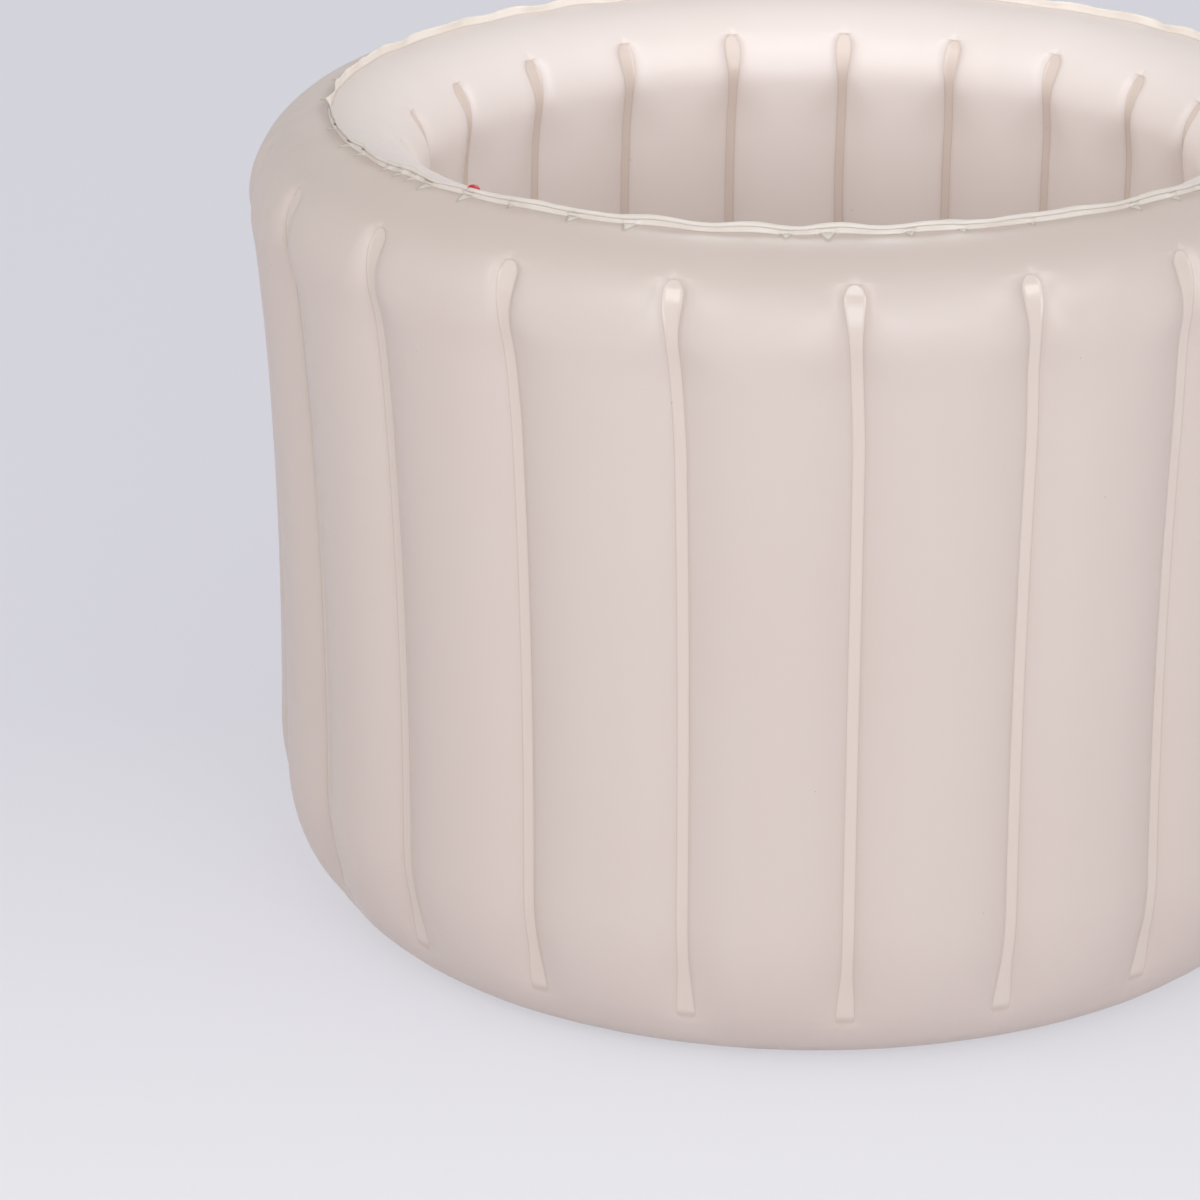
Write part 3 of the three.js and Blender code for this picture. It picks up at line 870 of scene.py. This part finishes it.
# Drain
def make_drain():
    """Grommet through the floor and the base, its stopper and the stopper's pull tab."""
    outer_radius = drain_bore_radius + drain_seat_wall
    seat_top = drain_level + drain_flange_thickness
    seat = [[drain_bore_radius, lap], [outer_radius, lap], [outer_radius, drain_level]]
    seat += [[drain_flange_radius, drain_level]]
    seat += [[drain_flange_radius, seat_top - drain_flange_drop]]
    seat += [[drain_flange_radius - drain_flange_slope, seat_top], [drain_bore_radius, seat_top]]
    grommet = turned("drain_grommet", rounded(seat, grommet_rounding), drain_segments)
    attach(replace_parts(grommet, "drain_seat"), "tub")
    under = seat_top + lap
    top = under + drain_head_thickness
    dish = top - drain_head_dish
    stem = drain_bore_radius - lap
    body = [[0, drain_lift], [stem - drain_stem_taper, drain_lift], [stem, under]]
    body += [[drain_head_radius, under], [drain_head_radius, top - drain_head_drop]]
    body += [[drain_head_radius - drain_head_slope, top]]
    body += [[drain_head_radius - drain_head_rim, dish], [0, dish]]
    plug = turned("drain_stopper_disc", rounded(body, stopper_rounding), drain_segments)
    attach(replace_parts(plug, "drain_plug"), "drain_stopper")
    tab = make_tab(top - tab_root)
    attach(tab, "drain_stopper")
    return grommet, plug, tab


def make_tab(level):
    """Pull tab: a plate with a round top and an eye, its edges rounded."""
    half = tab_width / 2
    eye_height = level + tab_height - half
    count = tab_steps + 3

    def outline(inset):
        turn = np.linspace(0, math.pi, tab_steps + 1)
        radius = half - inset
        arc = np.stack([radius * np.cos(turn), eye_height + radius * np.sin(turn)], 1)
        return np.concatenate([[[radius, level]], arc, [[-radius, level]]])

    def eye(inset):
        turn = np.linspace(-math.pi / 2, 1.5 * math.pi, count)
        radius = tab_hole_radius + inset
        return np.stack([radius * np.cos(turn), eye_height + radius * np.sin(turn)], 1)

    flats = [(depth, outline(inset)) for depth, inset in tab_edge]
    flats += [(depth, eye(inset)) for depth, inset in tab_edge[::-1]]
    points, faces = [], []
    for depth, flat in flats:
        points.append(np.insert(flat, 1, depth * tab_thickness / 2, axis=1))
    for i in range(len(flats)):
        a, b = i * count, ((i + 1) % len(flats)) * count
        faces += [[a + j, a + j + 1, b + j + 1, b + j] for j in range(count - 1)]
    made = make_object("drain_pull_tab", np.concatenate(points), faces)
    face_out(made, close=True)
    return made


drain_grommet, drain_stopper, drain_tab = make_drain()


# Materials
def srgb(red, green, blue):
    """A colour as seen on a screen, in the numbers that the shader takes."""
    def one(value):
        share = value / 255
        return share / 12.92 if share <= 0.04045 else ((share + 0.055) / 1.055) ** 2.4

    return (one(red), one(green), one(blue), 1)


class Nodes:
    """Short calls for building a node tree."""

    def __init__(self, tree):
        self.tree = tree
        self.coordinates = self.add("ShaderNodeTexCoord").outputs
        self.place = self.coordinates["Object"]

    def add(self, kind):
        return self.tree.nodes.new(kind)

    def put(self, value, target):
        """Gives a socket a number or colour, or links another node's output to it."""
        if isinstance(value, (int, float, tuple)):
            target.default_value = value
        else:
            self.tree.links.new(value, target)

    def noise(self, scale, detail=2.0, stretch=None):
        node = self.add("ShaderNodeTexNoise")
        self.put(scale, node.inputs["Scale"])
        self.put(detail, node.inputs["Detail"])
        place = self.place
        if stretch:
            mapping = self.add("ShaderNodeMapping")
            self.put(stretch, mapping.inputs["Scale"])
            self.put(place, mapping.inputs[0])
            place = mapping.outputs[0]
        self.put(place, node.inputs["Vector"])
        return node.outputs["Fac"]

    def attribute(self, name):
        node = self.add("ShaderNodeAttribute")
        node.attribute_name = name
        return node.outputs["Fac"]

    def split(self, value):
        node = self.add("ShaderNodeSeparateXYZ")
        self.put(value, node.inputs[0])
        return node.outputs

    def range(self, value, low, high, to_low=0.0, to_high=1.0):
        node = self.add("ShaderNodeMapRange")
        for slot, number in enumerate((value, low, high, to_low, to_high)):
            self.put(number, node.inputs[slot])
        return node.outputs[0]

    def math(self, kind, a, b):
        node = self.add("ShaderNodeMath")
        node.operation = kind
        self.put(a, node.inputs[0])
        self.put(b, node.inputs[1])
        return node.outputs[0]

    def blend(self, share, a, b):
        """A number between two."""
        node = self.add("ShaderNodeMix")
        for slot, value in ((0, share), (2, a), (3, b)):
            self.put(value, node.inputs[slot])
        return node.outputs[0]

    def mix(self, share, a, b):
        """A colour between two."""
        node = self.add("ShaderNodeMix")
        node.data_type = "RGBA"
        for slot, value in ((0, share), (6, a), (7, b)):
            self.put(value, node.inputs[slot])
        return node.outputs[2]

    def bump(self, height, strength, distance, normal=None):
        node = self.add("ShaderNodeBump")
        self.put(strength, node.inputs["Strength"])
        self.put(distance, node.inputs["Distance"])
        self.put(height, node.inputs["Height"])
        if normal is not None:
            self.put(normal, node.inputs["Normal"])
        return node.outputs[0]

    def specks(self, scale, size, share):
        """Sparse tiny specks: 1 inside a speck."""
        dots = self.add("ShaderNodeTexVoronoi")
        self.put(scale, dots.inputs["Scale"])
        self.put(self.place, dots.inputs["Vector"])
        near = self.math("LESS_THAN", dots.outputs["Distance"], size)
        parts = self.add("ShaderNodeSeparateColor")
        self.put(dots.outputs["Color"], parts.inputs[0])
        return self.math("MULTIPLY", near, self.math("LESS_THAN", parts.outputs[0], share))


class Surface(Nodes):
    """A material with one principled shader."""

    def __init__(self, name):
        self.material = bpy.data.materials.new(name)
        self.material.use_nodes = True
        self.material.node_tree.nodes.clear()
        super().__init__(self.material.node_tree)
        self.output = self.add("ShaderNodeOutputMaterial")
        self.shader = self.add("ShaderNodeBsdfPrincipled")
        self.put(self.shader.outputs[0], self.output.inputs[0])

    def set(self, **values):
        for name, value in values.items():
            self.put(value, self.shader.inputs[name.replace("_", " ")])


# The rim flange's colour: the seam's own lighter tone, with a painted highlight where light
# catches the standing flange
rim_colour = srgb(229, 219, 208)
# Painted shade: the dark colour drawn along the edges of the weld and rim marks, and how strongly
crease_shade_colour = srgb(138, 116, 106)
film_speck_colour = srgb(120, 96, 86)
weld_cover = 0.85
weld_crease_shade_cover = 1.0
rim_crease_shade_cover = 1.5
film_speck_cover = 0.45
weld_roughness = 0.24
film_roughness = (0.36, 0.46)
moulding_speck_cover = 0.4
moulding_roughness = (-0.05, 0.07)


def vinyl(name, body, warm, weld):
    """Satin vinyl film: soft colour drift, glossier welds, painted shade along the edges of welds
    and folds, a fine grain and a few specks."""
    nodes = Surface(name)
    drift = nodes.range(nodes.noise(5.0, detail=3.0), 0.35, 0.65)
    streak = nodes.range(nodes.noise(9.0, stretch=(1, 1, 0.12)), 0.4, 0.6)
    share = nodes.math("MULTIPLY", nodes.math("ADD", drift, streak), 0.5)
    colour = nodes.mix(share, body, warm)
    on_weld = nodes.attribute("weld")
    on_rim = nodes.attribute("rim")
    colour = nodes.mix(nodes.math("MULTIPLY", on_weld, weld_cover), colour, weld)
    colour = nodes.mix(on_rim, colour, rim_colour)
    # Painted shade: a dark line where the weld and rim marks fade out, beside the welds, under the
    # flange, round the pleats and along the flange's top edge
    for edge, cover in ((on_weld, weld_crease_shade_cover), (on_rim, rim_crease_shade_cover)):
        crease = nodes.math("MULTIPLY", edge, nodes.math("SUBTRACT", 1.0, edge))
        colour = nodes.mix(nodes.math("MULTIPLY", crease, cover), colour, crease_shade_colour)
    speck = nodes.math("MULTIPLY", nodes.specks(42.0, size=0.022, share=0.5), film_speck_cover)
    colour = nodes.mix(speck, colour, film_speck_colour)
    rough = nodes.range(nodes.noise(60.0, detail=3.0), 0.3, 0.7, *film_roughness)
    rough = nodes.blend(on_weld, rough, weld_roughness)
    normal = nodes.bump(nodes.noise(1500.0), strength=0.12, distance=0.0001)
    normal = nodes.bump(nodes.noise(230.0), strength=0.10, distance=0.0004, normal=normal)
    nodes.set(Base_Color=colour, Roughness=rough, Normal=normal)
    nodes.set(Coat_Weight=0.08, Coat_Roughness=0.3)
    return nodes.material


def moulding(name, light, deep, rough, speck):
    """Soft moulded plastic with faint flow marks and small specks."""
    nodes = Surface(name)
    drift = nodes.range(nodes.noise(160.0, detail=3.0), 0.35, 0.65)
    colour = nodes.mix(drift, light, deep)
    dots = nodes.specks(400.0, size=0.1, share=0.2)
    colour = nodes.mix(nodes.math("MULTIPLY", dots, moulding_speck_cover), colour, speck)
    low, high = (rough + change for change in moulding_roughness)
    uneven = nodes.range(nodes.noise(420.0), 0.3, 0.7, low, high)
    normal = nodes.bump(nodes.noise(2200.0), strength=0.1, distance=0.00005)
    normal = nodes.bump(nodes.noise(300.0), strength=0.12, distance=0.0002, normal=normal)
    nodes.set(Base_Color=colour, Roughness=uneven, Normal=normal)
    nodes.set(Coat_Weight=0.2, Coat_Roughness=0.2)
    return nodes.material


wall_material = vinyl(
    "wall_film", body=srgb(215, 199, 189), warm=srgb(213, 196, 186), weld=srgb(221, 205, 193)
)
# The inner film is a lighter copy of the wall's vinyl: painted light that brightens the inside of
# the tub and its air floor. Its welds are painted darker as painted shade beside the channels.
inner_material = vinyl(
    "inner_film", body=srgb(226, 214, 208), warm=srgb(224, 211, 204), weld=srgb(208, 190, 177)
)
web_material = vinyl(
    "strip_film", body=srgb(215, 199, 190), warm=srgb(211, 194, 183), weld=srgb(215, 199, 190)
)
clear_material = moulding(
    "clear_moulding", light=srgb(233, 224, 215), deep=srgb(226, 215, 205), rough=0.24,
    speck=srgb(240, 234, 228),
)
red_material = moulding(
    "red_moulding", light=srgb(206, 40, 44), deep=srgb(190, 32, 38), rough=0.3,
    speck=srgb(150, 24, 28),
)


def dress(made, material):
    made.data.materials.clear()
    made.data.materials.append(material)


dress(outer_skin, wall_material)
dress(base_sheet, wall_material)
for sheet in (inner_skin, floor_sheet, centre_sheet):
    dress(sheet, inner_material)
for strip in strips:
    dress(strip, web_material)
for piece in (*wall_valve[:3], *floor_valve[:3], drain_grommet):
    dress(piece, clear_material)
for piece in (wall_valve[3], floor_valve[3], drain_stopper, drain_tab):
    dress(piece, red_material)


# Studio
ground_half = 14.0
# Where the paper's painted fall-off of the light runs, from far to near, in metres along Y
paper_near = (0.3, -1.0)
paper_lit = 0.56
hidden_share = 0.8
sky_colour = (0.97, 0.98, 1.0, 1)
sky_by_height = (0.05, 0.9, 0.96, 0.55)
sky_by_depth = (-1.0, 1.0, 1.08, 0.8)


def make_ground():
    """Pale paper, painted a little lighter towards the camera as a painted fall-off of the light.
    Seen by the camera, in a reflection or through the film it partly glows, but it throws no more
    light than paper does, and it doesn't glow under the tub."""
    low, high = -ground_half / MM, ground_half / MM
    points = [[low, low, 0], [high, low, 0], [high, high, 0], [low, high, 0]]
    ground = make_object("studio_floor", points, [[0, 1, 2, 3]])
    nodes = Surface("studio_paper")
    near = nodes.range(nodes.split(nodes.place)[1], *paper_near)
    nodes.set(Base_Color=nodes.mix(near, srgb(222, 221, 229), srgb(238, 237, 242)))
    nodes.set(Roughness=0.9, Specular_IOR_Level=0.1)
    rays = nodes.add("ShaderNodeLightPath").outputs
    seen = nodes.math("MAXIMUM", rays["Is Glossy Ray"], rays["Is Transmission Ray"])
    seen = nodes.math("MAXIMUM", rays["Is Camera Ray"], seen)
    distance = nodes.add("ShaderNodeVectorMath")
    distance.operation = "LENGTH"
    nodes.put(nodes.place, distance.inputs[0])
    reach = foot_seam_radius * MM
    beside = nodes.range(distance.outputs["Value"], hidden_share * reach, reach)
    seen = nodes.math("MULTIPLY", seen, beside)
    glow = nodes.add("ShaderNodeEmission")
    nodes.put(1, glow.inputs["Strength"])
    nodes.put(nodes.mix(near, srgb(231, 230, 238), srgb(255, 254, 255)), glow.inputs["Color"])
    shown = nodes.add("ShaderNodeMixShader")
    nodes.put(nodes.math("MULTIPLY", seen, paper_lit), shown.inputs[0])
    nodes.put(nodes.shader.outputs[0], shown.inputs[1])
    nodes.put(glow.outputs[0], shown.inputs[2])
    nodes.put(shown.outputs[0], nodes.output.inputs[0])
    ground.data.materials.append(nodes.material)


def make_sky():
    """A pale room, darker above and behind the tub."""
    world = bpy.data.worlds.new("studio")
    bpy.context.scene.world = world
    world.use_nodes = True
    nodes = Nodes(world.node_tree)
    way = nodes.split(nodes.coordinates["Generated"])
    strength = nodes.math(
        "MULTIPLY", nodes.range(way[2], *sky_by_height), nodes.range(way[1], *sky_by_depth)
    )
    background = world.node_tree.nodes["Background"]
    nodes.put(sky_colour, background.inputs[0])
    nodes.put(strength, background.inputs[1])


def make_lamp(name, place, target, size, power, colour=(1, 1, 1)):
    """A square or wide lamp, aimed at a target. Its places and sizes are in metres."""
    data = bpy.data.lights.new(name, "AREA")
    data.shape = "RECTANGLE"
    data.size, data.size_y = size
    data.energy = power
    data.color = colour
    lamp = bpy.data.objects.new(name, data)
    lamp.location = place
    lamp.rotation_mode = "QUATERNION"
    lamp.rotation_quaternion = (Vector(target) - Vector(place)).to_track_quat("-Z", "Y")
    bpy.context.scene.collection.objects.link(lamp)
    return lamp


def make_camera():
    """The photograph's view: a long lens, looking down at the rim from the front."""
    place = Vector((0, -3.1999, 1.4083))
    yaw, pitch, roll = -0.048, 0.358, -0.006
    ahead = Vector(
        (math.sin(yaw) * math.cos(pitch), math.cos(yaw) * math.cos(pitch), -math.sin(pitch))
    )
    right = Vector((math.cos(yaw), -math.sin(yaw), 0))
    up = right.cross(ahead)
    side = right * math.cos(roll) + up * math.sin(roll)
    top = up * math.cos(roll) - right * math.sin(roll)
    data = bpy.data.cameras.new("photo_view")
    data.sensor_width = 36
    data.lens = 138.56
    camera = bpy.data.objects.new("photo_view", data)
    turn = Matrix((side, top, -ahead)).transposed().to_4x4()
    camera.matrix_world = Matrix.Translation(place) @ turn
    bpy.context.scene.collection.objects.link(camera)
    bpy.context.scene.camera = camera


make_ground()
make_sky()
make_lamp(
    "front_softbox", place=(0.85, -4.15, 1.72), target=(0, 0, 0.35), size=(3.0, 2.2), power=67,
    colour=(0.87, 0.93, 1.0),
)
make_lamp("left_softbox", place=(-3.2, -1.4, 2.2), target=(0, 0, 0.4), size=(2.0, 2.0), power=12)
for side, place in (("left", (-1.26, -2.46, 2.35)), ("right", (1.96, -1.95, 2.35))):
    glint = make_lamp(f"glint_{side}", place, target=(0, -0.35, 0.56), size=(0.9, 0.9), power=15)
    glint.visible_diffuse = False
basin_box = make_lamp(
    "basin_softbox", place=(0, 0.02, 0.85), target=(0, 0.05, 0), size=(0.3, 0.3), power=0.8,
    colour=(0.97, 0.98, 1.0),
)
basin_box.visible_camera = False
make_camera()
bpy.context.scene.view_settings.view_transform = "Standard"
